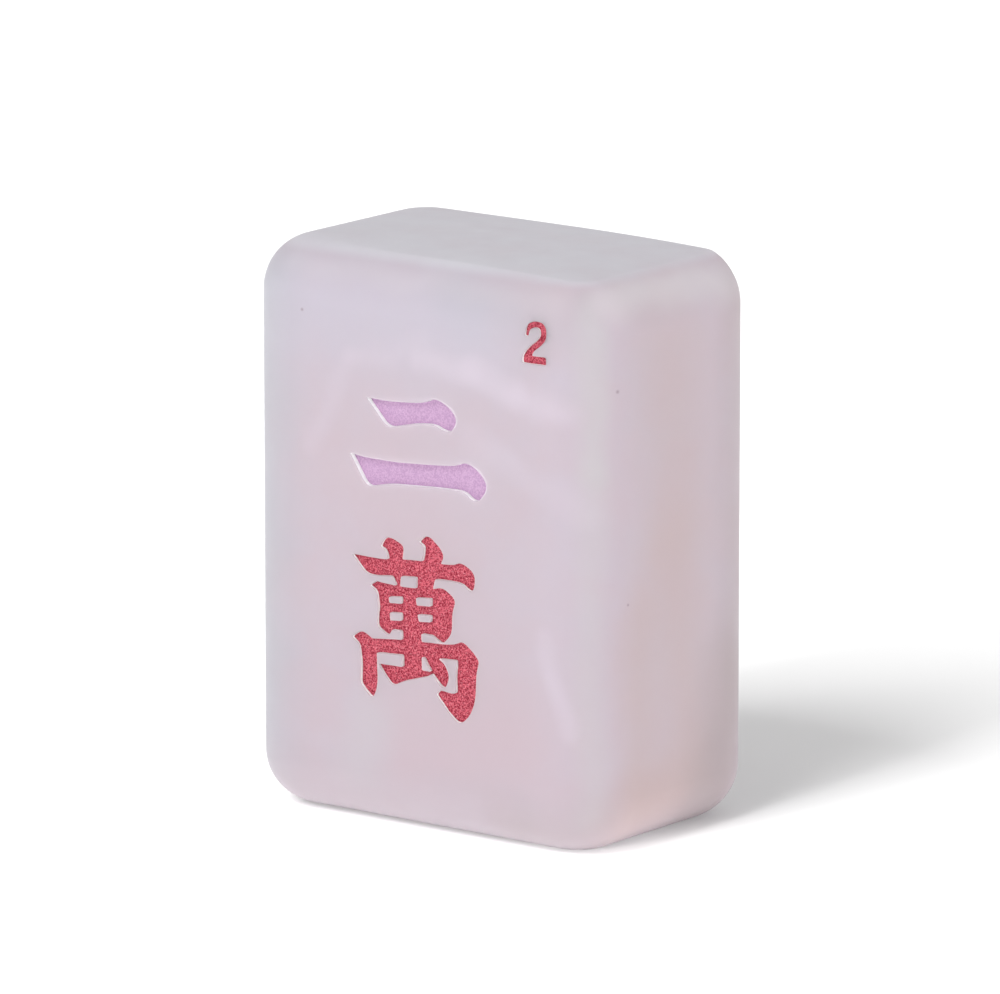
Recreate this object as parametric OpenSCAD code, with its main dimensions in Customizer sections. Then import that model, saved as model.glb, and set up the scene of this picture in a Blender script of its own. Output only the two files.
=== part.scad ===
// A mahjong tile: one cast block with engraved marks, and a paint film on the floor of each mark.
// The tile stands on its base. X runs to the right across the marked face, the face looks along -Y,
// and the origin is at the middle of the base.

/* [Tile] */
// Width of the tile, side to side
tile_w = 23; // [20:0.1:30]
// Thickness of the tile, marked face to back
tile_d = 15; // [12:0.1:22]
// Height of the tile
tile_h = 30; // [28:0.1:40]
// Radius of the four upright edges
corner_r = 3.6; // [3.5:0.1:5]
// Radius that rounds the rims of the top and the base
rim_r = 3; // [2:0.1:3.4]

/* [Engraving] */
// Depth of the two engraved strokes below the face
stroke_depth = 0.45; // [0.25:0.05:1]
// Depth of the engraved character below the face
suit_depth = 0.35; // [0.25:0.05:1]
// Depth of the engraved corner numeral below the face
numeral_depth = 0.3; // [0.25:0.05:1]
// Thickness of the paint on the floor of each mark
paint_t = 0.1; // [0.05:0.01:0.15]

/* [Corner numeral] */
// Width of the numeral
numeral_w = 1.5; // [1:0.1:2]
// Height of the numeral
numeral_h = 2.15; // [1.5:0.05:3]
// How far the numeral reaches past the flat of the face, over the rounded right edge
numeral_side_reach = 0.65; // [0:0.05:0.8]
// How far the numeral reaches past the flat of the face, over the rounded top rim
numeral_top_reach = 0.7; // [0:0.05:0.8]

/* [Upper stroke] */
// Length of the upper stroke of the number
upper_w = 5.65; // [4:0.05:8]
// Height of the upper stroke, from its heel to the crown of its tail
upper_h = 1.9; // [1.2:0.05:2.4]
// Middle of the upper stroke above the middle of the face
upper_rise = 7.05; // [6.5:0.05:7.5]

/* [Lower stroke] */
// Length of the lower stroke of the number
lower_w = 8.75; // [6:0.05:11]
// Height of the lower stroke, from its heel to the crown of its tail
lower_h = 2.05; // [1.2:0.05:2.4]
// Middle of the lower stroke above the middle of the face
lower_rise = 3.88; // [3.6:0.02:4.2]
// Middle of the lower stroke to the right of the middle of the face
lower_shift = 0.42; // [-1:0.02:1]

/* [Suit character] */
// Width of the character
suit_w = 8.28; // [6:0.02:11]
// Height of the character
suit_h = 9.4; // [7:0.05:11]
// Middle of the character below the middle of the face
suit_drop = 3.9; // [3.5:0.05:5]
// Middle of the character to the right of the middle of the face
suit_shift = 0.14; // [-1:0.02:1]

/* [Hidden] */
$fn = 96;

// Every cut runs this far past the face
overrun = 0.5;
// Straight pieces that stand for the curve at one soft corner
curve_steps = 6;
// The block between the rounded upright edges
core_w = tile_w - 2 * corner_r;
core_d = tile_d - 2 * corner_r;
// The front plane and the middle of the marked face
face_y = -tile_d / 2;
face_mid = tile_h / 2;
// Left and bottom edges of the marks
numeral_x = tile_w / 2 - corner_r + numeral_side_reach - numeral_w;
numeral_z = tile_h - rim_r + numeral_top_reach - numeral_h;
upper_x = -upper_w / 2;
upper_z = face_mid + upper_rise - upper_h / 2;
lower_x = lower_shift - lower_w / 2;
lower_z = face_mid + lower_rise - lower_h / 2;
suit_x = suit_shift - suit_w / 2;
suit_z = face_mid - suit_drop - suit_h / 2;

// Outlines of the brush strokes. Each point is [across, up, softness]: the first two are shares of
// the mark's width and height, and softness is the share of the half edges on both sides of the
// point that its curve takes up, with 0 for a sharp corner.
numeral_shares = [
    [0.00, 0.01, 0], [0.98, 0.01, 0], [0.98, 0.20, 0], [0.42, 0.20, 0],
    [0.48, 0.31, 0.8], [0.81, 0.48, 0.8], [0.99, 0.63, 0.9], [0.99, 0.87, 0.9],
    [0.82, 1.01, 0.9], [0.50, 1.03, 0.9], [0.20, 0.95, 0.9], [0.10, 0.66, 0],
    [0.27, 0.66, 0], [0.31, 0.83, 0.9], [0.48, 0.885, 0.9], [0.69, 0.88, 0.9],
    [0.755, 0.755, 0.9], [0.71, 0.63, 0.9], [0.46, 0.49, 0.8], [0.16, 0.325, 0.8],
    [0.01, 0.18, 0.6]
];
upper_shares = [
    [-0.02, 0.75, 0], [0.25, 0.73, 0.6], [0.62, 0.82, 0.6], [0.77, 1.01, 0.8],
    [0.93, 0.82, 0.9], [1.02, 0.50, 0.9], [0.95, 0.16, 0.9], [0.86, 0.15, 0.7],
    [0.74, 0.29, 0.7], [0.52, 0.22, 0.6], [0.215, 0.00, 0.5]
];
lower_shares = [
    [-0.01, 0.80, 0], [0.10, 0.745, 0.6], [0.35, 0.74, 0.6], [0.76, 0.87, 0.6],
    [0.85, 1.03, 0.8], [0.945, 0.85, 0.9], [1.012, 0.50, 0.9], [0.955, 0.12, 0.9],
    [0.895, 0.06, 0.8], [0.825, 0.285, 0.7], [0.60, 0.245, 0.5], [0.28, 0.16, 0.6],
    [0.115, 0.00, 0.5]
];
// The character is written in twelve strokes: three for the crown, five for the box and its post,
// two for the frame below it, and a rise and a dot inside the frame.
suit_shares = [
    // Long bar of the crown
    [[0.012, 0.832, 0], [0.25, 0.829, 0.5], [0.45, 0.852, 0.6], [0.80, 0.860, 0.6], [0.865, 0.886, 0.9],
     [0.975, 0.835, 0.9], [0.965, 0.740, 0.9], [0.925, 0.732, 0.8], [0.86, 0.778, 0.8],
     [0.45, 0.758, 0.5], [0.13, 0.727, 0.5]],
    // Left post of the crown
    [[0.232, 0.899, 0], [0.275, 0.957, 0.8], [0.335, 0.955, 0.8], [0.420, 0.922, 0.6],
     [0.405, 0.83, 0.5], [0.395, 0.76, 0.5], [0.388, 0.69, 0], [0.362, 0.69, 0],
     [0.335, 0.73, 0.6], [0.298, 0.77, 0.6], [0.290, 0.86, 0.7], [0.265, 0.89, 0.6]],
    // Right post of the crown
    [[0.533, 0.958, 0], [0.575, 0.995, 0.8], [0.625, 0.998, 0.8], [0.70, 0.945, 0.6],
     [0.735, 0.90, 0.9], [0.695, 0.84, 0.6], [0.66, 0.765, 0.5], [0.638, 0.68, 0],
     [0.515, 0.68, 0], [0.518, 0.76, 0.5], [0.562, 0.85, 0.6], [0.580, 0.94, 0.8]],
    // Left side of the box
    [[0.150, 0.674, 0], [0.205, 0.704, 0.4], [0.300, 0.69, 0], [0.300, 0.62, 0],
     [0.312, 0.47, 0], [0.325, 0.447, 0.3], [0.298, 0.408, 0.5], [0.205, 0.452, 0.3],
     [0.218, 0.56, 0.5], [0.208, 0.645, 0.6]],
    // Top and right side of the box
    [[0.200, 0.700, 0], [0.42, 0.694, 0.5], [0.62, 0.703, 0.5], [0.72, 0.730, 0.8],
     [0.825, 0.672, 0.8], [0.795, 0.60, 0.7], [0.792, 0.48, 0.7], [0.72, 0.410, 0.9],
     [0.665, 0.435, 0.6], [0.628, 0.46, 0.2], [0.628, 0.657, 0], [0.255, 0.624, 0]],
    // Middle bar of the box
    [[0.26, 0.538, 0], [0.26, 0.590, 0], [0.68, 0.613, 0], [0.68, 0.565, 0]],
    // Bottom bar of the box
    [[0.27, 0.446, 0], [0.27, 0.492, 0], [0.69, 0.528, 0], [0.69, 0.454, 0]],
    // Post through the box
    [[0.398, 0.66, 0], [0.510, 0.66, 0], [0.522, 0.56, 0.4], [0.556, 0.44, 0.4],
     [0.558, 0.215, 0], [0.405, 0.19, 0]],
    // Left leg of the frame
    [[0.008, 0.368, 0], [0.055, 0.398, 0.6], [0.10, 0.410, 0.8], [0.17, 0.378, 0.6],
     [0.204, 0.30, 0.3], [0.211, 0.12, 0.7], [0.17, 0.036, 0.7], [0.070, 0.118, 0.4],
     [0.080, 0.22, 0.5], [0.070, 0.335, 0.6]],
    // Bar, right leg and hook of the frame
    [[0.13, 0.374, 0], [0.40, 0.398, 0.5], [0.80, 0.417, 0.6], [0.875, 0.450, 0.8],
     [0.96, 0.395, 0.4], [1.004, 0.352, 0.5], [0.982, 0.28, 0.5], [0.975, 0.13, 0.8],
     [0.93, 0.035, 0.9], [0.845, -0.022, 0.9], [0.765, 0.04, 0.4], [0.668, 0.128, 0.2],
     [0.70, 0.156, 0.7], [0.79, 0.146, 0.4], [0.822, 0.152, 0.2], [0.828, 0.337, 0],
     [0.55, 0.322, 0.3], [0.13, 0.299, 0]],
    // Rise inside the frame
    [[0.215, 0.243, 0], [0.45, 0.247, 0.3], [0.658, 0.249, 0], [0.60, 0.219, 0.3],
     [0.42, 0.172, 0.3], [0.325, 0.132, 0.5]],
    // Dot inside the frame
    [[0.565, 0.330, 0], [0.68, 0.335, 0], [0.735, 0.305, 0.6], [0.775, 0.24, 0.9],
     [0.745, 0.172, 0.9], [0.705, 0.172, 0.7], [0.64, 0.235, 0.5], [0.588, 0.30, 0.5]]
];

// The point a share of the way from p to q
function toward(p, q, share) = p + share * (q - p);

// The points that round the corner p between its two neighbours
function corner_points(before, p, after, softness) =
    let (start = toward(p, before, softness / 2), end = toward(p, after, softness / 2))
    softness == 0 ? [p] : [
        for (i = [0 : curve_steps])
            toward(
                toward(start, p, i / curve_steps),
                toward(p, end, i / curve_steps),
                i / curve_steps
            )
    ];

// The outline of one stroke in a mark of this width and height
function stroke_points(shares, w, h) =
    let (n = len(shares), corners = [for (s = shares) [s[0] * w, s[1] * h]])
    [
        for (i = [0 : n - 1])
            each corner_points(
                corners[(i + n - 1) % n],
                corners[i],
                corners[(i + 1) % n],
                shares[i][2]
            )
    ];

module stroke(shares, w, h) {
    polygon(stroke_points(shares, w, h));
}

module numeral_outline() {
    translate([numeral_x, numeral_z])
        stroke(numeral_shares, numeral_w, numeral_h);
}

module upper_outline() {
    translate([upper_x, upper_z])
        stroke(upper_shares, upper_w, upper_h);
}

module lower_outline() {
    translate([lower_x, lower_z])
        stroke(lower_shares, lower_w, lower_h);
}

module suit_outline() {
    translate([suit_x, suit_z])
        for (shares = suit_shares)
            stroke(shares, suit_w, suit_h);
}

// A slab with the outline of a mark, standing on the floor of its engraving
module on_floor(depth, thickness) {
    translate([0, face_y + depth, 0])
        rotate([90, 0, 0])
            linear_extrude(thickness)
                children();
}

// The engraving that a mark leaves in the face
module engraving(depth) {
    on_floor(depth, depth + overrun)
        children();
}

// Quarter of a disc in the corner where both coordinates are positive
module quarter_disc(radius) {
    intersection() {
        circle(radius);
        square(radius);
    }
}

// Section through the wall of the block, from the core out to the face, with both rims rounded
module wall_section() {
    square([corner_r - rim_r, tile_h]);
    translate([corner_r - rim_r, rim_r])
        square([rim_r, tile_h - 2 * rim_r]);
    translate([corner_r - rim_r, tile_h - rim_r])
        quarter_disc(rim_r);
    translate([corner_r - rim_r, rim_r])
        mirror([0, 1])
            quarter_disc(rim_r);
}

// Straight wall on the +X side of a core of this width and length
module straight_wall(width, length) {
    translate([width / 2, length / 2, 0])
        rotate([90, 0, 0])
            linear_extrude(length)
                wall_section();
}

// The block before it is engraved
module block() {
    translate([-core_w / 2, -core_d / 2, 0])
        cube([core_w, core_d, tile_h]);
    for (turn = [0, 180])
        rotate(turn) {
            straight_wall(core_w, core_d);
            rotate(90)
                straight_wall(core_d, core_w);
            translate([core_w / 2, core_d / 2, 0])
                rotate_extrude(angle = 90)
                    wall_section();
            translate([-core_w / 2, core_d / 2, 0])
                rotate(90)
                    rotate_extrude(angle = 90)
                        wall_section();
        }
}

module tile_body() {
    color([0.84, 0.79, 0.82])
        difference() {
            block();
            engraving(numeral_depth)
                numeral_outline();
            engraving(stroke_depth)
                upper_outline();
            engraving(stroke_depth)
                lower_outline();
            engraving(suit_depth)
                suit_outline();
        }
}

module corner_numeral_paint() {
    color([0.78, 0.36, 0.42])
        on_floor(numeral_depth, paint_t)
            numeral_outline();
}

module upper_stroke_paint() {
    color([0.82, 0.68, 0.81])
        on_floor(stroke_depth, paint_t)
            upper_outline();
}

module lower_stroke_paint() {
    color([0.82, 0.68, 0.81])
        on_floor(stroke_depth, paint_t)
            lower_outline();
}

module suit_character_paint() {
    color([0.78, 0.36, 0.42])
        on_floor(suit_depth, paint_t)
            suit_outline();
}

tile_body();
corner_numeral_paint();
upper_stroke_paint();
lower_stroke_paint();
suit_character_paint();
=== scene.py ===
"""Looks of a standing mahjong tile: a block of milky cast resin with engraved and painted marks.

Lengths are in millimetres unless a comment says metres, and become metres in the scene.
"""

import math

import bpy
import numpy as np
from mathutils import Matrix, Vector, geometry, noise


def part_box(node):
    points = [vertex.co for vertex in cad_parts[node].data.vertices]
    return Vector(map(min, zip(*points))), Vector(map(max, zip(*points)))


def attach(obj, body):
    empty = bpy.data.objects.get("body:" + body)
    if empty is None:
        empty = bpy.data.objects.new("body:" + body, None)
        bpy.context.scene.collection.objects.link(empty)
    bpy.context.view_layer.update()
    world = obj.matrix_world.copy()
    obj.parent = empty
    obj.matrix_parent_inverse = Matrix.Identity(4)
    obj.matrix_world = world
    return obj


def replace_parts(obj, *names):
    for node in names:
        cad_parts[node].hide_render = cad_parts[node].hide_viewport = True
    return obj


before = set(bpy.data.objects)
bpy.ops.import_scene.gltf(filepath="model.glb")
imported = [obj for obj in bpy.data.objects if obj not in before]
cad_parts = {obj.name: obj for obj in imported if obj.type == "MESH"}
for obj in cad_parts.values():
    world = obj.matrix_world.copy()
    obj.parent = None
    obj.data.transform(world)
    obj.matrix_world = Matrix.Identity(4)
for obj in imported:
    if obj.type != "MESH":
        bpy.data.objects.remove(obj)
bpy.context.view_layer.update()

MM = 0.001

# Sizes of the block, from the solid and its roundings
LOW, HIGH = (np.array(corner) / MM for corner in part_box("tile_body"))
TILE_W, TILE_D, TILE_H = HIGH - LOW
CORNER_R = 3.6
CORE_X = TILE_W / 2 - CORNER_R
CORE_Y = TILE_D / 2 - CORNER_R
FACE_Y = -TILE_D / 2

# Rims: a wide arc that stops short of the flat, then a tight one at the crease
TOP_RISE, TOP_INSET = 2.8, 1.7
FOOT_RISE, FOOT_INSET = 2.9, 2.3
CREASE_R = 0.6
CREASE_TURN = math.radians(86)
RIM_TURN = 2 * math.atan(TOP_INSET / TOP_RISE)
RIM_R = TOP_RISE / math.sin(RIM_TURN)
# The crease fades from CRISP_X to ROUND_X into one arc, which takes this share of the rim's height
ROUND_X, CRISP_X = -8.5, -2.0
ROUND_SHARE = 0.95

# The top is a little crowned, less at its left end
CROWN = 0.16
LEFT_CROWN = 0.03
CROWN_SHARES = (0.25, 0.5, 0.75, 0.95)
# It falls a little towards its right end, above SAG_Z, and its corners are tighter than the block's
SAG = 0.4
SAG_Z = 28.7
PINCH = 0.8

# How finely the block is divided
CORNER_STEPS = 14
RIM_STEPS = 14
CREASE_STEPS = 4
RIM_ROWS = RIM_STEPS + CREASE_STEPS
FRONT_STEPS = 20
SIDE_STEPS = 10
HEIGHT_STEPS = 30
# Corner and rim steps that belong to the engraved sheet
SHEET_CORNER_STEPS = 5
SHEET_RIM_STEPS = 7

# Engraving: depth of each mark below the face
MARK_DEPTH = {
    "corner_numeral_paint": 0.30,
    "upper_stroke_paint": 0.45,
    "lower_stroke_paint": 0.45,
    "suit_character_paint": 0.35,
}
# Spacing of an outline's points, and passes that ease its corners
OUTLINE_STEP = 0.06
OUTLINE_EASE = 2
# Soft lip: radius, steps, largest share of the free room, points over which it is evened, clear width
LIP_R = 0.05
LIP_STEPS = 3
LIP_SHARE = 0.6
LIP_WINDOW = 4
LIP_CLEARANCE = 0.35
# Depth below the lip at which the fresh cut, near white with a painted highlight, begins to show
CUT_DEPTH = 0.012

# Paint film: thickness, gap to the walls, spacing of its relief, and how far its edge shows
PAINT_T = 0.10
PAINT_GAP = 0.004
GRAIN_STEP = 0.085
GRAIN_JITTER = 0.3
GRAIN_MARGIN = 0.05
EDGE_REACH = 0.16
# Waves per millimetre, and the layer of noise, of the film's relief and of its creep up the walls
COARSE_RELIEF = (5.0, 0.3)
FINE_RELIEF = (11.0, 7.1)
CREEP_WAVE = (1.3, 4.7)

# Camera, solved from the photographed outline: angles in radians, focal length in pixels
CAMERA_YAW = 0.65511
CAMERA_PITCH = 0.21315
CAMERA_DISTANCE = 508.84
AIM_RIGHT, AIM_UP = -0.07063, 1.39565
FOCAL_PIXELS = 9864.55
IMAGE_PIXELS = 1000
SENSOR_W = 36.0
CLIP_M = (0.01, 50.0)

# Floor: half its width in metres, and how far it lies below the tile
FLOOR_HALF_M = 3.0
FLOOR_DROP = 0.03

# Lights: azimuth and elevation in degrees, distance and size in metres, power in watts
WORLD_STRENGTH = 0.68
KEY = (-9, 44, 2.0, 1.13, 15.5)
RIGHT_FILL = (75, 10, 0.6, 0.4, 0.75)
# Lights that only the floor receives: one from above, one low at the foot of the tile
FLOOR_WASH = (-5, 44, 2.0, 1.13, 33.0)
FOOT_WASH = (-1, 9, 2.0, 0.5, 78.0)
# A strip inside the tile, in millimetres and watts, for the light that the resin passes to the floor
GLOW_PLACE = (9.3, -1.95, 4.0)
GLOW_SIZE = (1.5, 9.4)
GLOW_POWER = 1.0e-4


# Geometry of the block

def block_columns():
    """Feet of the wall's columns on the core, each with the turn of its outward normal."""
    sides = [
        ((-CORE_X, -CORE_Y), (CORE_X, -CORE_Y), FRONT_STEPS),
        ((CORE_X, -CORE_Y), (CORE_X, CORE_Y), SIDE_STEPS),
        ((CORE_X, CORE_Y), (-CORE_X, CORE_Y), FRONT_STEPS),
        ((-CORE_X, CORE_Y), (-CORE_X, -CORE_Y), SIDE_STEPS),
    ]
    columns = []
    for side, (start, end, steps) in enumerate(sides):
        turn = side * math.pi / 2
        for i in range(steps + 1):
            share = i / steps
            foot_x = start[0] + share * (end[0] - start[0])
            foot_y = start[1] + share * (end[1] - start[1])
            columns.append((foot_x, foot_y, turn))
        for i in range(1, CORNER_STEPS):
            columns.append((end[0], end[1], turn + i / CORNER_STEPS * math.pi / 2))
    return columns


def rim_profile(full_rise, full_inset):
    """Rise, inset and tilt of the normal along a creased rim, from the wall to the flat."""
    turn = 2 * math.atan(full_inset / full_rise)
    radius = full_rise / math.sin(turn)
    profile = []
    for i in range(1, RIM_STEPS + 1):
        tilt = i / RIM_STEPS * turn
        profile.append((radius * math.sin(tilt), radius * (1 - math.cos(tilt)), tilt))
    for i in range(1, CREASE_STEPS + 1):
        tilt = turn + i / CREASE_STEPS * (CREASE_TURN - turn)
        rise = full_rise + CREASE_R * (math.sin(tilt) - math.sin(turn))
        inset = full_inset + CREASE_R * (math.cos(turn) - math.cos(tilt))
        profile.append((rise, inset, tilt))
    return profile


def round_profile(full_rise):
    """The same for a rim that is one arc, which starts a little up the wall."""
    radius = ROUND_SHARE * full_rise / math.sin(CREASE_TURN)
    start = (1 - ROUND_SHARE) * full_rise
    tilts = [i / RIM_ROWS * CREASE_TURN for i in range(1, RIM_ROWS + 1)]
    return [
        (start + radius * math.sin(tilt), radius * (1 - math.cos(tilt)), tilt) for tilt in tilts
    ]


FOOT_RIM = rim_profile(FOOT_RISE, FOOT_INSET)
TOP_RIM = rim_profile(TOP_RISE, TOP_INSET)
LOWER_Z = FOOT_RIM[-1][0]
UPPER_Z = TILE_H - CROWN - TOP_RIM[-1][0]
SHEET_TILT = TOP_RIM[SHEET_RIM_STEPS - 1][2]


def block_rows():
    """Height, inset from the face and tilt of the normal of the wall's rows, each creased and round."""
    rows = []
    for pair in zip(reversed(FOOT_RIM), reversed(round_profile(LOWER_Z))):
        rows.append([(LOWER_Z - rise, inset, -tilt) for rise, inset, tilt in pair])
    for i in range(HEIGHT_STEPS + 1):
        rows.append([(LOWER_Z + i / HEIGHT_STEPS * (UPPER_Z - LOWER_Z), 0.0, 0.0)] * 2)
    for pair in zip(TOP_RIM, round_profile(TILE_H - LEFT_CROWN - UPPER_Z)):
        rows.append([(UPPER_Z + rise, inset, tilt) for rise, inset, tilt in pair])
    return rows


def sagged(x, z):
    """Height of a point near the top, lower towards the right end."""
    share = max(0.0, (z - SAG_Z) / (TILE_H - SAG_Z))
    return z - SAG * (2 * max(0.0, x) / TILE_W * share) ** 2


def blended(column, row):
    """How crisp the crease is at a column, with the row's height, inset and tilt there."""
    foot_x, _, turn = column
    crisp = (foot_x + math.sin(turn) * CORNER_R - ROUND_X) / (CRISP_X - ROUND_X)
    crisp = min(1.0, max(0.0, crisp))
    crisp = crisp * crisp * (3 - 2 * crisp)
    return crisp, [a * crisp + b * (1 - crisp) for a, b in zip(*row)]


def wall_point(column, row):
    """Place and normal of the wall at a column and a row."""
    foot_x, foot_y, turn = column
    out_x, out_y = math.sin(turn), -math.cos(turn)
    crisp, (z, inset, tilt) = blended(column, row)
    share = min(1.0, max(0.0, (tilt - SHEET_TILT) / (RIM_TURN - SHEET_TILT)))
    pinch = PINCH * crisp * share ** 2
    reach = CORNER_R - inset - pinch
    x = foot_x * (CORE_X + pinch) / CORE_X + out_x * reach
    y = foot_y * (CORE_Y + pinch) / CORE_Y + out_y * reach
    place = (x, y, sagged(x, z))
    normal = (out_x * math.cos(tilt), out_y * math.cos(tilt), math.sin(tilt))
    return place, normal


def sheet_place(column, row):
    """Place of a column and a row on the front sheet rolled flat."""
    foot_x, _, turn = column
    z, _, tilt = row[0]
    return foot_x + CORNER_R * turn, z if tilt == 0 else UPPER_Z + RIM_R * tilt


def on_front(x, z):
    """Depth, normal and rolled-flat place of the front sheet at each x and z."""
    tilt = np.arcsin(np.clip((z - UPPER_Z) / RIM_R, 0, 1))
    reach = CORNER_R - RIM_R * (1 - np.cos(tilt))
    turn = np.arcsin(np.clip((x - CORE_X) / reach, 0, 1))
    y = -CORE_Y - reach * np.cos(turn)
    normal = np.stack([np.sin(turn) * np.cos(tilt), -np.cos(turn) * np.cos(tilt), np.sin(tilt)], 1)
    rolled_x = np.where(turn > 0, CORE_X + CORNER_R * turn, x)
    rolled_z = np.where(tilt > 0, UPPER_Z + RIM_R * tilt, z)
    return y, normal, np.stack([rolled_x, rolled_z], 1)


# Outlines of the marks

def film_outlines(node):
    """Closed outlines, in x and z, of a paint film's front face. The paint lies to their left."""
    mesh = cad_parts[node].data
    points = np.array([v.co for v in mesh.vertices]) / MM
    front = points[:, 1].min() + PAINT_T / 4
    keys = [(round(p[0], 4), round(p[2], 4)) for p in points]
    edges = set()
    for face in mesh.polygons:
        if all(points[v][1] < front for v in face.vertices):
            ring = [keys[v] for v in face.vertices]
            edges.update(zip(ring, ring[1:] + ring[:1]))
    following = {a: b for a, b in edges if a != b and (b, a) not in edges}
    outlines = []
    while following:
        start = min(following)
        ring, point = [start], following.pop(start)
        while point != start:
            ring.append(point)
            point = following.pop(point)
        outlines.append(np.array(ring))
    return outlines


def eased(outline):
    """The outline at an even spacing, with its sharp corners eased as a cutter leaves them."""
    closed = np.vstack([outline, outline[:1]])
    run = np.concatenate([[0], np.cumsum(np.linalg.norm(np.diff(closed, axis=0), axis=1))])
    count = max(12, int(round(run[-1] / OUTLINE_STEP)))
    at = np.arange(count) / count * run[-1]
    ring = np.stack([np.interp(at, run, closed[:, k]) for k in range(2)], 1)
    for _ in range(OUTLINE_EASE):
        ring = ring / 2 + (np.roll(ring, 1, 0) + np.roll(ring, -1, 0)) / 4
    return ring


def outward(ring):
    """Unit normals of an outline that point away from the paint."""
    along = np.roll(ring, -1, 0) - np.roll(ring, 1, 0)
    along /= np.linalg.norm(along, axis=1, keepdims=True)
    return np.stack([along[:, 1], -along[:, 0]], 1)


def lip_radii(rings):
    """Radius of the lip along each outline, narrower where the strokes leave little room."""
    points = np.vstack(rings)
    away = np.vstack([outward(ring) for ring in rings])
    gap = points[None, :, :] - points[:, None, :]
    ahead = (gap * away[:, None, :]).sum(2)
    square = (gap ** 2).sum(2)
    room = np.where(ahead > 1e-9, square / np.maximum(2 * ahead, 1e-9), np.inf).min(1)
    radius = np.minimum(LIP_R, LIP_SHARE * room)
    radii = np.split(radius, np.cumsum([len(ring) for ring in rings])[:-1])
    window = range(-LIP_WINDOW, LIP_WINDOW + 1)
    lowest = [np.min([np.roll(r, k) for k in window], axis=0) for r in radii]
    return [np.mean([np.roll(r, k) for k in window], axis=0)[:, None] for r in lowest]


def is_inside(points, rings):
    """Whether each point lies inside the rings, counted by crossings."""
    inside = np.zeros(len(points), bool)
    for ring in rings:
        following = np.roll(ring, -1, 0)
        for a, b in zip(ring, following):
            spans = (a[1] > points[:, 1]) != (b[1] > points[:, 1])
            if spans.any():
                x = a[0] + (points[:, 1] - a[1]) * (b[0] - a[0]) / (b[1] - a[1] + 1e-12)
                inside ^= spans & (points[:, 0] < x)
    return inside


def nearest(points, others):
    """Distance of each point from the nearest of the others."""
    return np.sqrt(((points[:, None, :] - others[None, :, :]) ** 2).sum(2)).min(1)


def triangles(points, rings):
    """Triangles inside rings of point numbers. A ring inside a ring is a hole."""
    edges = [pair for ring in rings for pair in zip(ring, ring[1:] + ring[:1])]
    flat = [Vector((float(p[0]), float(p[1]))) for p in points]
    found, _, faces, sources, _, _ = geometry.delaunay_2d_cdt(flat, edges, [], 0, 1e-6, True)
    if len(found) != len(flat):
        raise ValueError("outlines of the marks cross each other")
    faces = [[sources[v][0] for v in face] for face in faces]

    borders = {frozenset(edge) for edge in edges}
    beside = {}
    for number, face in enumerate(faces):
        for edge in zip(face, face[1:] + face[:1]):
            beside.setdefault(frozenset(edge), []).append(number)
    inside = {}
    waiting = [(found[0], edge in borders) for edge, found in beside.items() if len(found) == 1]
    while waiting:
        number, state = waiting.pop()
        if number not in inside:
            inside[number] = state
            face = faces[number]
            for edge in map(frozenset, zip(face, face[1:] + face[:1])):
                beyond = state != (edge in borders)
                waiting += [(other, beyond) for other in beside[edge] if other != number]
    return [face for number, face in enumerate(faces) if inside[number]]


# Meshes

class Shape:
    """A mesh in the making: points with normals, and faces that may carry a normal of their own."""

    def __init__(self):
        self.points, self.normals, self.faces, self.face_normals = [], [], [], []
        self.cut = set()

    def add_points(self, points, normals):
        first = len(self.points)
        self.points.extend(tuple(map(float, p)) for p in points)
        self.normals.extend(tuple(map(float, n)) for n in normals)
        return list(range(first, len(self.points)))

    def add_face(self, corners, normal=None):
        self.faces.append(list(corners))
        self.face_normals.append(normal)

    def add_strip(self, outer, inner):
        for i in range(len(outer)):
            k = (i + 1) % len(outer)
            self.add_face([outer[i], outer[k], inner[k], inner[i]])

    def build(self, name, material):
        mesh = bpy.data.meshes.new(name)
        mesh.from_pydata([tuple(c * MM for c in p) for p in self.points], [], self.faces)
        mesh.shade_smooth()
        corner_normals = [
            own or self.normals[v]
            for face, own in zip(self.faces, self.face_normals)
            for v in face
        ]
        mesh.normals_split_custom_set(corner_normals)
        mesh.materials.append(material)
        piece = bpy.data.objects.new(name, mesh)
        bpy.context.scene.collection.objects.link(piece)
        return piece


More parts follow.
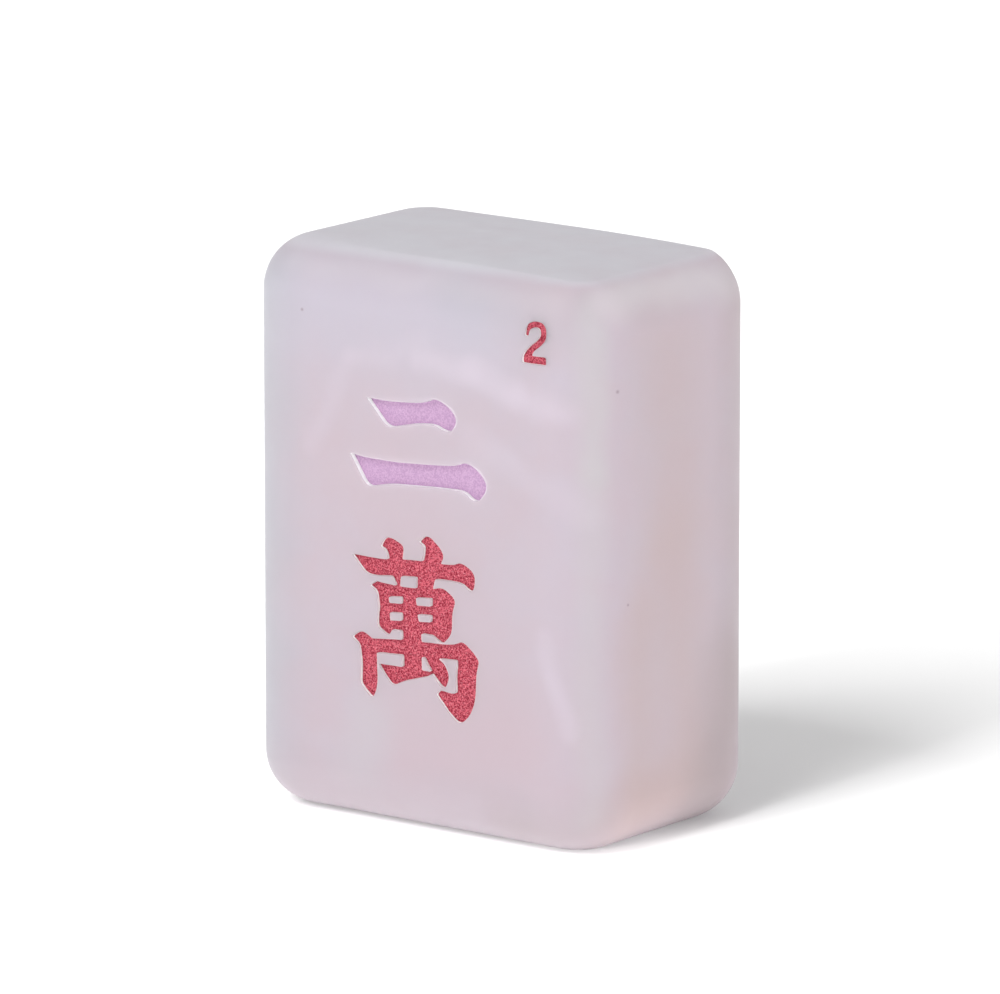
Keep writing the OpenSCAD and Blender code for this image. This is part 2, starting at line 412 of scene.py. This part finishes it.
def build_body(outlines, material):
    """The block, with a pocket for each mark and a soft lip round each pocket."""
    shape = Shape()
    columns, rows = block_columns(), block_rows()
    last_column = FRONT_STEPS + SHEET_CORNER_STEPS
    first_row, last_row = RIM_ROWS, RIM_ROWS + HEIGHT_STEPS + SHEET_RIM_STEPS

    all_lips = []
    for rings in outlines.values():
        for ring, radius in zip(rings, lip_radii(rings)):
            lip = ring + outward(ring) * radius
            all_lips.append(on_front(lip[:, 0], lip[:, 1])[2])
    inner = [
        (c, r) for c in range(1, last_column) for r in range(first_row + 1, last_row)
    ]
    inner_places = np.array([sheet_place(columns[c], rows[r]) for c, r in inner])
    clear = nearest(inner_places, np.vstack(all_lips)) > LIP_CLEARANCE
    kept = clear & ~is_inside(inner_places, all_lips)
    left_out = {cell for cell, keep in zip(inner, kept) if not keep}

    grid = {}
    for c, column in enumerate(columns):
        for r, row in enumerate(rows):
            if (c, r) not in left_out:
                place, normal = wall_point(column, row)
                grid[c, r] = shape.add_points([place], [normal])[0]
    for c in range(len(columns)):
        following = (c + 1) % len(columns)
        for r in range(len(rows) - 1):
            if not (c < last_column and first_row <= r < last_row):
                lower = [grid[c, r], grid[following, r]]
                shape.add_face(lower + [grid[following, r + 1], grid[c, r + 1]])
    shape.add_face([grid[c, 0] for c in reversed(range(len(columns)))], (0.0, 0.0, -1.0))
    add_crown(shape, columns, rows[-1], [grid[c, len(rows) - 1] for c in range(len(columns))])

    border = (
        [(c, first_row) for c in range(last_column)]
        + [(last_column, r) for r in range(first_row, last_row)]
        + [(c, last_row) for c in range(last_column, 0, -1)]
        + [(0, r) for r in range(last_row, first_row, -1)]
    )
    cells = border + [cell for cell in inner if cell not in left_out]
    places = [sheet_place(columns[c], rows[r]) for c, r in cells]
    numbers = [grid[cell] for cell in cells]
    rings = [list(range(len(border)))]
    for node, mark_rings in outlines.items():
        add_pocket(shape, mark_rings, MARK_DEPTH[node], places, numbers, rings)
    for face in triangles(places, rings):
        shape.add_face([numbers[v] for v in face])
    piece = shape.build("tile", material)
    cut = piece.data.attributes.new("cut", "FLOAT", "POINT")
    is_cut = [v in shape.cut for v in range(len(shape.points))]
    cut.data.foreach_set("value", np.array(is_cut, np.float32))
    return piece


def add_crown(shape, columns, row, outer):
    """The slightly crowned top, in rings from the last row of the wall to the middle."""
    for share in CROWN_SHARES:
        points, normals = [], []
        tilt = CREASE_TURN + share * (math.pi / 2 - CREASE_TURN)
        for column in columns:
            (x, y, _), _ = wall_point(column, row)
            _, normal = wall_point(column, [(z, inset, tilt) for z, inset, _ in row])
            _, (edge_z, _, _) = blended(column, row)
            x, y = x * (1 - share), y * (1 - share)
            points.append((x, y, sagged(x, TILE_H - (TILE_H - edge_z) * (1 - share) ** 2)))
            normals.append(normal)
        inner = shape.add_points(points, normals)
        shape.add_strip(outer, inner)
        outer = inner
    shape.add_face(outer, (0.0, 0.0, 1.0))


def add_pocket(shape, mark_rings, depth, places, numbers, rings):
    """Lip, wall and floor of one mark. The lip's outer edge joins the sheet's lists."""
    floor_places, floor_numbers, floor_rings = [], [], []
    for ring, radius in zip(mark_rings, lip_radii(mark_rings)):
        away = outward(ring)
        toward_pocket = np.stack([-away[:, 0], np.zeros(len(ring)), -away[:, 1]], 1)
        above = None
        for k in range(LIP_STEPS + 1):
            bend = k / LIP_STEPS * math.pi / 2
            line = ring + away * radius * (1 - math.sin(bend))
            y, normal, rolled = on_front(line[:, 0], line[:, 1])
            points = np.stack([line[:, 0], y + radius[:, 0] * (1 - math.cos(bend)), line[:, 1]], 1)
            bent = normal * math.cos(bend) + toward_pocket * math.sin(bend)
            level = shape.add_points(points, bent)
            if above is None:
                rings.append(list(range(len(places), len(places) + len(ring))))
                places.extend(map(tuple, rolled))
                numbers.extend(level)
            else:
                shape.add_strip(above, level)
            above = level
        points[:, 1] += CUT_DEPTH
        below_lip = shape.add_points(points, toward_pocket)
        shape.add_strip(above, below_lip)
        above = below_lip
        shape.cut.update(above)
        points = np.stack([ring[:, 0], np.full(len(ring), FACE_Y + depth), ring[:, 1]], 1)
        bottom = shape.add_points(points, toward_pocket)
        shape.add_strip(above, bottom)
        shape.cut.update(bottom)
        floor_rings.append(list(range(len(floor_places), len(floor_places) + len(ring))))
        floor_places.extend(map(tuple, ring))
        floor_numbers.extend(bottom)
    for face in triangles(floor_places, floor_rings):
        shape.add_face([floor_numbers[v] for v in face], (0.0, -1.0, 0.0))


def build_film(name, node, mark_rings, material, relief, creep):
    """The paint in one mark: a film with a fine relief, which creeps a little up the walls."""
    shape = Shape()
    floor_y = FACE_Y + MARK_DEPTH[node] - PAINT_GAP
    top_y = FACE_Y + MARK_DEPTH[node] - PAINT_T
    lines = [ring - outward(ring) * PAINT_GAP for ring in mark_rings]
    edge = np.vstack(lines)
    low, high = edge.min(0), edge.max(0)
    random = np.random.default_rng(len(edge))
    steps = np.ceil((high - low) / GRAIN_STEP).astype(int)
    spots = np.array([(i + k % 2 / 2, k) for i in range(steps[0]) for k in range(steps[1])], float)
    spots += random.uniform(-GRAIN_JITTER, GRAIN_JITTER, spots.shape)
    spots = low + spots * GRAIN_STEP
    spots = spots[is_inside(spots, mark_rings)]
    spots = spots[nearest(spots, edge) > GRAIN_MARGIN]
    places = np.vstack([edge, spots])
    near = np.clip(1 - nearest(places, edge) / EDGE_REACH, 0, 1)
    rough = np.array([wave(p, *COARSE_RELIEF) + wave(p, *FINE_RELIEF) / 2 for p in places])
    climb = np.array([wave(p, *CREEP_WAVE) for p in places])
    y = top_y - relief * rough - creep * (1 + climb) * near ** 2

    starts = np.cumsum([0] + [len(line) for line in lines])
    rings = [list(range(a, b)) for a, b in zip(starts[:-1], starts[1:])]
    points = np.stack([places[:, 0], y, places[:, 1]], 1)
    faces = triangles(places, rings)
    top = shape.add_points(points, smooth_normals(points, faces))
    for face in faces:
        shape.add_face([top[v] for v in face])
    base = np.stack([edge[:, 0], np.full(len(edge), floor_y), edge[:, 1]], 1)
    bottom = shape.add_points(base, np.tile((0.0, 1.0, 0.0), (len(edge), 1)))
    for ring in rings:
        for i, v in enumerate(ring):
            w = ring[(i + 1) % len(ring)]
            side = edge[w] - edge[v]
            side /= np.linalg.norm(side)
            away = (float(side[1]), 0.0, float(-side[0]))
            shape.add_face([top[w], top[v], bottom[v], bottom[w]], away)
    for face in triangles(edge, rings):
        shape.add_face([bottom[v] for v in reversed(face)], (0.0, 1.0, 0.0))
    piece = shape.build(name, material)
    shade = piece.data.attributes.new("edge", "FLOAT", "POINT")
    shade.data.foreach_set("value", np.concatenate([near, np.ones(len(edge))]).astype(np.float32))
    return piece


def wave(place, waves, layer):
    """Smooth noise at a place on the marked face."""
    return noise.noise(Vector((place[0] * waves, place[1] * waves, layer)))


def smooth_normals(points, faces):
    """Normals of a height field, averaged over its faces."""
    normals = np.zeros_like(points)
    for face in faces:
        a, b, c = points[face]
        normals[face] += np.cross(b - a, c - a)
    return normals / np.linalg.norm(normals, axis=1, keepdims=True)


# Materials

def srgb(r, g, b):
    """A colour given as 0 to 255 on a screen, as linear light with alpha."""
    def linear(v):
        v /= 255
        return v / 12.92 if v <= 0.04045 else ((v + 0.055) / 1.055) ** 2.4
    return linear(r), linear(g), linear(b), 1.0


class Nodes:
    """A material's node tree, with short ways to add and join nodes."""

    def __init__(self, name):
        self.material = bpy.data.materials.new(name)
        self.material.use_nodes = True
        self.tree = self.material.node_tree
        self.tree.nodes.clear()
        self.shader = self.tree.nodes.new("ShaderNodeBsdfPrincipled")
        output = self.tree.nodes.new("ShaderNodeOutputMaterial")
        self.tree.links.new(self.shader.outputs[0], output.inputs["Surface"])

    def join(self, source, target):
        self.tree.links.new(source, target)

    def fill(self, socket, value):
        if isinstance(value, bpy.types.NodeSocket):
            self.join(value, socket)
        else:
            socket.default_value = value

    def coords(self):
        place = self.tree.nodes.new("ShaderNodeTexCoord").outputs["Object"]
        return self.vector("SCALE", place, scale=1 / MM)

    def vector(self, operation, a, b=None, scale=None):
        node = self.tree.nodes.new("ShaderNodeVectorMath")
        node.operation = operation
        self.fill(node.inputs[0], a)
        if b is not None:
            self.fill(node.inputs[1], b)
        if scale is not None:
            self.fill(node.inputs["Scale"], scale)
        return node.outputs["Value" if operation in ("DOT_PRODUCT", "LENGTH") else "Vector"]

    def math(self, operation, a, b=0.0, clamp=False):
        node = self.tree.nodes.new("ShaderNodeMath")
        node.operation = operation
        node.use_clamp = clamp
        self.fill(node.inputs[0], a)
        self.fill(node.inputs[1], b)
        return node.outputs[0]

    def noise(self, place, scale, detail=2.0, roughness=0.5, output="Fac"):
        node = self.tree.nodes.new("ShaderNodeTexNoise")
        self.fill(node.inputs["Vector"], place)
        for key, value in (("Scale", scale), ("Detail", detail), ("Roughness", roughness)):
            node.inputs[key].default_value = value
        return node.outputs[output]

    def remap(self, value, low, high, to_low=0.0, to_high=1.0, smooth=False):
        node = self.tree.nodes.new("ShaderNodeMapRange")
        node.interpolation_type = "SMOOTHSTEP" if smooth else "LINEAR"
        for socket, entry in zip(node.inputs[:5], (value, low, high, to_low, to_high)):
            self.fill(socket, entry)
        return node.outputs[0]

    def mix(self, factor, a, b):
        node = self.tree.nodes.new("ShaderNodeMix")
        node.data_type = "RGBA"
        self.fill(node.inputs[0], factor)
        self.fill(node.inputs[6], a)
        self.fill(node.inputs[7], b)
        return node.outputs[2]

    def cloud(self, place, start, end, reach, amount):
        """Soft share, from the amount down to nothing at the reach, of a cloud along a line."""
        start, span = Vector(start), Vector(end) - Vector(start)
        offset = self.vector("SUBTRACT", place, tuple(start))
        if span.length:
            along = self.vector("DOT_PRODUCT", offset, tuple(span / span.length_squared))
            along = self.math("ADD", along, 0.0, clamp=True)
            offset = self.vector("SUBTRACT", offset, self.vector("SCALE", tuple(span), scale=along))
        return self.remap(self.vector("LENGTH", offset), reach, 0.0, 0.0, amount, smooth=True)

    def bump(self, height, strength, distance):
        node = self.tree.nodes.new("ShaderNodeBump")
        node.inputs["Strength"].default_value = strength
        node.inputs["Distance"].default_value = distance
        self.join(height, node.inputs["Height"])
        self.join(node.outputs[0], self.shader.inputs["Normal"])


# Tones of the resin, some of them painted highlights and shade
BODY_TONE = srgb(190, 178, 187)
LAVENDER = srgb(188, 184, 196)
MIST = srgb(190, 185, 191)
SHADE = srgb(172, 174, 181)
ROSE = srgb(192, 175, 183)
PEARL = srgb(203, 193, 204)
# Painted highlight down the upright edge between the marked face and the right side
EDGE_HIGHLIGHT = srgb(191, 187, 190)
# Painted highlight along the top rims, just below the crease
RIM_HIGHLIGHT = srgb(205, 199, 203)
# Warmer, darker tone of the right side: partly the resin's own, partly painted shade of the side turned
# from the light
SIDE_TONE_AND_SHADE = srgb(188, 168, 168)
# Painted shade
DEEP_SHADE = srgb(171, 158, 161)
# Painted shade along the foot
FOOT_SHADE = srgb(184, 173, 180)
# Paler, bluer top: partly the resin's tone, partly painted light
TOP_TONE_AND_LIGHT = srgb(199, 197, 204)
# Painted shade of the pinholes
PIT_SHADE = srgb(150, 134, 142)
# Near white of the pocket walls: the frosting of the fresh cut, with a painted highlight
CUT_FROST_AND_HIGHLIGHT = srgb(250, 247, 250)

# Clouds in the resin, some the pour's own and some painted highlights and shade: tone, start and end of
# the middle line, reach and amount
CLOUDS = [
    # Marked face
    (LAVENDER, (-8, -7.5, 27), (3.5, -7.5, 27.2), 6.0, 0.7),
    (SHADE, (-11, -7, 27), (-11, -7, 3), 5.0, 0.8),
    (ROSE, (-1.5, -7.5, 18), (4, -7.5, 9), 6.5, 0.4),
    (ROSE, (0.5, -7.5, 4.5), (6.2, -7.5, 6), 4.8, 0.85),
    (MIST, (-3.7, -7.5, 2.6), (-2.7, -7.5, 5.4), 2.6, 0.5),
    (LAVENDER, (9.2, -7.5, 19), (9, -7.5, 11), 2.8, 0.25),
    (LAVENDER, (9.8, -7.5, 24.5), (9.8, -7.5, 24.5), 2.4, 0.5),
    # Painted shade along the foot of the marked face
    (FOOT_SHADE, (-9, -7, 0.5), (10, -7, 0.5), 4.5, 0.7),
    # Painted shade at the foot of the front right corner
    (DEEP_SHADE, (6.4, -7.2, 1), (10.6, -5.6, 1), 3.2, 0.45),
    # Painted highlight on the front rim, just below the top crease
    (RIM_HIGHLIGHT, (-8, -7, 28.9), (9, -7, 28.9), 1.3, 0.2),
    (SHADE, (2.5, -7.5, 28.4), (9.8, -7, 27.6), 2.4, 0.25),
    # Streaks on the marked face
    (PEARL, (-6.5, -7.5, 19.8), (-3.7, -7.5, 24.6), 1.0, 0.25),
    (PEARL, (-3.7, -7.5, 24.6), (0.8, -7.5, 25.8), 1.0, 0.25),
    (PEARL, (0.5, -7.5, 24.8), (3.7, -7.5, 25), 1.0, 0.5),
    (PEARL, (3.7, -7.5, 25), (6.8, -7.5, 23.8), 1.2, 0.55),
    (PEARL, (6.8, -7.5, 23.8), (9.4, -7, 23), 1.2, 0.5),
    (PEARL, (4.1, -7.5, 21.2), (10.4, -6.5, 18.2), 1.4, 0.3),
    (PEARL, (8.4, -7.5, 11.4), (9.9, -7, 6.6), 0.8, 0.42),
    # Upright edge and right side
    # Painted highlight down the upright edge
    (EDGE_HIGHLIGHT, (10.6, -6.3, 29), (10.6, -6.3, 20), 1.4, 0.6),
    (EDGE_HIGHLIGHT, (10.6, -6.3, 20), (10.6, -6.3, 2), 1.5, 0.35),
    # Painted highlight on the right side's top rim
    (RIM_HIGHLIGHT, (11, -5, 28.7), (11, 5.5, 28.7), 1.7, 0.75),
    # The right side warmer and darker: partly the resin's tone, partly painted shade, heaviest at its
    # foot
    (SIDE_TONE_AND_SHADE, (11.5, -0.9, 25), (11.5, 0, 17), 4.8, 0.45),
    (SIDE_TONE_AND_SHADE, (11.5, -0.9, 15), (11.5, 1, 5), 4.8, 0.55),
    (SIDE_TONE_AND_SHADE, (11.5, -3.5, 12), (11.5, -3.5, 3), 2.6, 0.5),
    (SIDE_TONE_AND_SHADE, (11.5, 1.6, 2.6), (11.5, -3, 2.2), 4.2, 0.9),
    # Painted shade towards the back of the right side and down at its foot
    (DEEP_SHADE, (11.3, 5.4, 27), (11.3, 5.4, 9), 3.4, 0.6),
    (DEEP_SHADE, (11.3, 5, 8), (11.3, 3, 1.5), 4.6, 0.9),
    # Left side and back
    (LAVENDER, (-11.5, -2, 26), (-11.5, 4, 23), 4.5, 0.7),
    (ROSE, (-11.5, 1, 6), (-11.5, -1, 15), 4.5, 0.6),
    (PEARL, (-11.5, -3, 20.6), (-11.5, 0.3, 18.7), 1.8, 0.25),
    (PEARL, (-11.5, 0.3, 18.7), (-11.5, 4, 18), 1.8, 0.25),
    (LAVENDER, (7, 7.5, 24), (-4, 7.5, 27), 5.5, 0.8),
    (ROSE, (-4, 7.5, 6), (3, 7.5, 12), 6.0, 0.8),
    (MIST, (9, 7.5, 10), (8, 7.5, 4), 4.0, 0.7),
    (PEARL, (8, 7.5, 20.8), (4, 7.5, 18.8), 2.2, 0.3),
    (PEARL, (4, 7.5, 18.8), (-0.5, 7.5, 18.1), 2.2, 0.3),
    (PEARL, (-0.5, 7.5, 18.1), (-5.5, 7.5, 19.4), 2.2, 0.25),
]

# Drift of the pour in millimetres, and waves per millimetre of drift, veil, sheen and bump
POUR_DRIFT = 1.6
DRIFT_WAVES, VEIL_WAVES, SHEEN_WAVES, BUMP_WAVES = 0.3, 0.33, 0.6, 1.1

# Depths below the top at which the paler tone of the top, partly the resin's and partly painted light,
# begins and is full
TOP_LIGHT_BEGINS, TOP_LIGHT_FULL = 0.7, 0.25

# Pinholes that reached the polished surface, with their reach. Their dark spots are painted shade; the
# mesh has no hollows there
PINHOLES = [
    ((11.29, -5.1, 24.2), 0.16), ((11.46, -4.4, 13.1), 0.12), ((-7.1, -7.5, 26.6), 0.14),
    ((-3.1, 7.5, 22.4), 0.15), ((-11.5, 2.2, 11.6), 0.13),
]


def resin_material():
    """Milky translucent resin with faint, slow clouds and streaks, and painted highlights and shade."""
    n = Nodes("resin")
    place = n.coords()
    drift = n.vector("SUBTRACT", n.noise(place, DRIFT_WAVES, 1.0, output="Color"), (0.5, 0.5, 0.5))
    poured = n.vector("ADD", place, n.vector("SCALE", drift, scale=POUR_DRIFT))
    veil = n.noise(poured, VEIL_WAVES, 3.0, 0.55)
    colour = n.mix(n.remap(veil, 0.3, 0.7, 0.0, 0.5, smooth=True), ROSE, LAVENDER)
    colour = n.mix(0.6, colour, BODY_TONE)
    # The clouds, painted highlights and shade among them
    for tone, start, end, reach, amount in CLOUDS:
        colour = n.mix(n.cloud(poured, start, end, reach, amount), colour, tone)
    height = n.tree.nodes.new("ShaderNodeSeparateXYZ")
    n.join(place, height.inputs[0])
    # The top paler and bluer: partly the resin's tone, partly painted light
    top_light_share = n.remap(height.outputs["Z"], TILE_H - TOP_LIGHT_BEGINS, TILE_H - TOP_LIGHT_FULL, smooth=True)
    top_light_share = n.math("MULTIPLY", top_light_share, n.remap(veil, 0.35, 0.65, 0.78, 0.98))
    colour = n.mix(top_light_share, colour, TOP_TONE_AND_LIGHT)
    # Near white on the pocket walls: the frosting of the fresh cut, with a painted highlight
    cut = n.tree.nodes.new("ShaderNodeAttribute")
    cut.attribute_name = "cut"
    colour = n.mix(cut.outputs["Fac"], colour, CUT_FROST_AND_HIGHLIGHT)
    # Painted shade of the pinholes
    for spot, reach in PINHOLES:
        colour = n.mix(n.cloud(place, spot, spot, reach, 0.8), colour, PIT_SHADE)
    n.join(colour, n.shader.inputs["Base Color"])
    n.fill(n.shader.inputs["Roughness"], n.remap(n.noise(place, SHEEN_WAVES, 3.0), 0.3, 0.7, 0.44, 0.54))
    n.shader.inputs["IOR"].default_value = 1.5
    n.shader.inputs["Specular IOR Level"].default_value = 0.35
    n.shader.inputs["Subsurface Weight"].default_value = 0.8
    n.shader.inputs["Subsurface Radius"].default_value = (1.0, 0.97, 0.97)
    n.shader.inputs["Subsurface Scale"].default_value = 2.0 * MM
    n.bump(n.noise(place, BUMP_WAVES, 2.0), 0.05, 0.05 * MM)
    return n.material


# Waves per millimetre of the paint's grain and of its painted glints, which lie in noise of their own
GRAIN_WAVES, GLINT_WAVES = 11.0, 13.0
GLINT_SHIFT = (31.0, 17.0, 5.0)
# Share of the painted shade that darkens the paint along the walls
WALL_SHADE_SHARE = 0.35


def paint_material(name, pale, deep, wall_shade, glint):
    """Dull paint with a fine grain, deeper in colour along the walls as painted shade, with sparse pale
    grains as painted glints.
    """
    n = Nodes(name)
    place = n.coords()
    grain = n.noise(place, GRAIN_WAVES, 2.0, 0.6)
    colour = n.mix(n.remap(grain, 0.4, 0.6), deep, pale)
    edge = n.tree.nodes.new("ShaderNodeAttribute")
    edge.attribute_name = "edge"
    # Painted shade where the film meets the walls
    colour = n.mix(n.math("MULTIPLY", edge.outputs["Fac"], WALL_SHADE_SHARE), colour, wall_shade)
    # Painted glints on the grain
    glints = n.noise(n.vector("ADD", place, GLINT_SHIFT), GLINT_WAVES, 1.0)
    colour = n.mix(n.remap(glints, 0.62, 0.72, 0.0, 0.7), colour, glint)
    n.join(colour, n.shader.inputs["Base Color"])
    n.fill(n.shader.inputs["Roughness"], n.remap(grain, 0.3, 0.7, 0.8, 0.6))
    n.shader.inputs["Specular IOR Level"].default_value = 0.3
    n.bump(grain, 0.3, 0.03 * MM)
    return n.material


def floor_material():
    """Plain pale floor, lit a little from below as a light table is."""
    n = Nodes("floor")
    n.shader.inputs["Base Color"].default_value = (0.7, 0.7, 0.7, 1.0)
    n.shader.inputs["Emission Color"].default_value = (1.0, 1.0, 1.0, 1.0)
    n.shader.inputs["Emission Strength"].default_value = 0.08
    n.shader.inputs["Roughness"].default_value = 0.7
    n.shader.inputs["Specular IOR Level"].default_value = 0.0
    return n.material


# Stage

def direction(azimuth, elevation):
    """Unit vector from the tile. Azimuth is counted from the marked face towards +X."""
    flat = math.cos(elevation)
    return Vector((math.sin(azimuth) * flat, -math.cos(azimuth) * flat, math.sin(elevation)))


def add_camera():
    """Long lens at the photograph's angle."""
    back = direction(CAMERA_YAW, CAMERA_PITCH)
    right = Vector((math.cos(CAMERA_YAW), math.sin(CAMERA_YAW), 0))
    up = back.cross(right)
    aim = Vector((0, 0, TILE_H / 2)) + right * AIM_RIGHT + up * AIM_UP
    place = (aim + back * CAMERA_DISTANCE) * MM
    camera = bpy.data.cameras.new("camera")
    camera.sensor_fit = "HORIZONTAL"
    camera.sensor_width = SENSOR_W
    camera.lens = SENSOR_W * FOCAL_PIXELS / IMAGE_PIXELS
    camera.clip_start, camera.clip_end = CLIP_M
    piece = bpy.data.objects.new("camera", camera)
    piece.matrix_world = Matrix.Translation(place) @ Matrix((right, up, back)).transposed().to_4x4()
    bpy.context.scene.collection.objects.link(piece)
    bpy.context.scene.camera = piece


def add_floor():
    """Plain floor, wide enough for every view."""
    mesh = bpy.data.meshes.new("floor")
    signs = ((-1, -1), (1, -1), (1, 1), (-1, 1))
    corners = [(x * FLOOR_HALF_M, y * FLOOR_HALF_M, -FLOOR_DROP * MM) for x, y in signs]
    mesh.from_pydata(corners, [], [(0, 1, 2, 3)])
    mesh.materials.append(floor_material())
    piece = bpy.data.objects.new("floor", mesh)
    bpy.context.scene.collection.objects.link(piece)
    return piece


def add_light(name, azimuth, elevation, distance, size, power):
    """A square soft box that looks at the tile."""
    way = direction(math.radians(azimuth), math.radians(elevation))
    light = bpy.data.lights.new(name, "AREA")
    light.shape = "SQUARE"
    light.size = size
    light.energy = power
    piece = bpy.data.objects.new(name, light)
    piece.location = way * distance + Vector((0, 0, TILE_H / 2 * MM))
    piece.rotation_euler = way.to_track_quat("Z", "Y").to_euler()
    bpy.context.scene.collection.objects.link(piece)
    return piece


def add_glow(lit_floor):
    """Light that the resin passes to the floor along the foot of its right side."""
    light = bpy.data.lights.new("glow", "AREA")
    light.shape = "RECTANGLE"
    light.size, light.size_y = (length * MM for length in GLOW_SIZE)
    light.energy = GLOW_POWER
    piece = bpy.data.objects.new("glow", light)
    piece.location = Vector(GLOW_PLACE) * MM
    bpy.context.scene.collection.objects.link(piece)
    piece.light_linking.receiver_collection = lit_floor
    piece.light_linking.blocker_collection = lit_floor


def add_world():
    """Even white light from all sides."""
    world = bpy.data.worlds.new("studio")
    world.use_nodes = True
    background = world.node_tree.nodes["Background"]
    background.inputs["Color"].default_value = (1.0, 1.0, 1.0, 1.0)
    background.inputs["Strength"].default_value = WORLD_STRENGTH
    bpy.context.scene.world = world


# Scene

add_camera()
floor = add_floor()
add_world()
add_light("key", *KEY)
add_light("right_fill", *RIGHT_FILL)
lit_floor = bpy.data.collections.new("lit_floor")
lit_floor.objects.link(floor)
for name, values in (("floor_wash", FLOOR_WASH), ("foot_wash", FOOT_WASH)):
    wash = add_light(name, *values)
    wash.light_linking.receiver_collection = lit_floor
add_glow(lit_floor)
bpy.context.scene.view_settings.view_transform = "Standard"

outlines = {node: [eased(ring) for ring in film_outlines(node)] for node in MARK_DEPTH}
# The darker colour along the walls of each paint is painted shade, and its glint colour paints glints on
# its grain
red = paint_material(
    "red_paint",
    pale=srgb(208, 94, 110), deep=srgb(134, 24, 46),
    wall_shade=srgb(146, 38, 60), glint=srgb(228, 148, 160),
)
lilac = paint_material(
    "lilac_paint",
    pale=srgb(197, 162, 195), deep=srgb(179, 145, 180),
    wall_shade=srgb(180, 142, 180), glint=srgb(210, 180, 208),
)

tile = build_body(outlines, resin_material())
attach(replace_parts(tile, "tile_body"), "root")
# Piece, the node that it replaces, material, slot, height of the relief and of the creep
FILMS = [
    ("numeral_paint", "corner_numeral_paint", red, "red_paint", 0.012, 0.08),
    ("upper_stroke", "upper_stroke_paint", lilac, "lilac_paint", 0.006, 0.03),
    ("lower_stroke", "lower_stroke_paint", lilac, "lilac_paint", 0.006, 0.03),
    ("suit_character", "suit_character_paint", red, "red_paint", 0.012, 0.08),
]
for name, node, material, slot, relief, creep in FILMS:
    film = build_film(name, node, outlines[node], material, relief, creep)
    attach(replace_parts(film, node), "root")

bpy.context.view_layer.update()
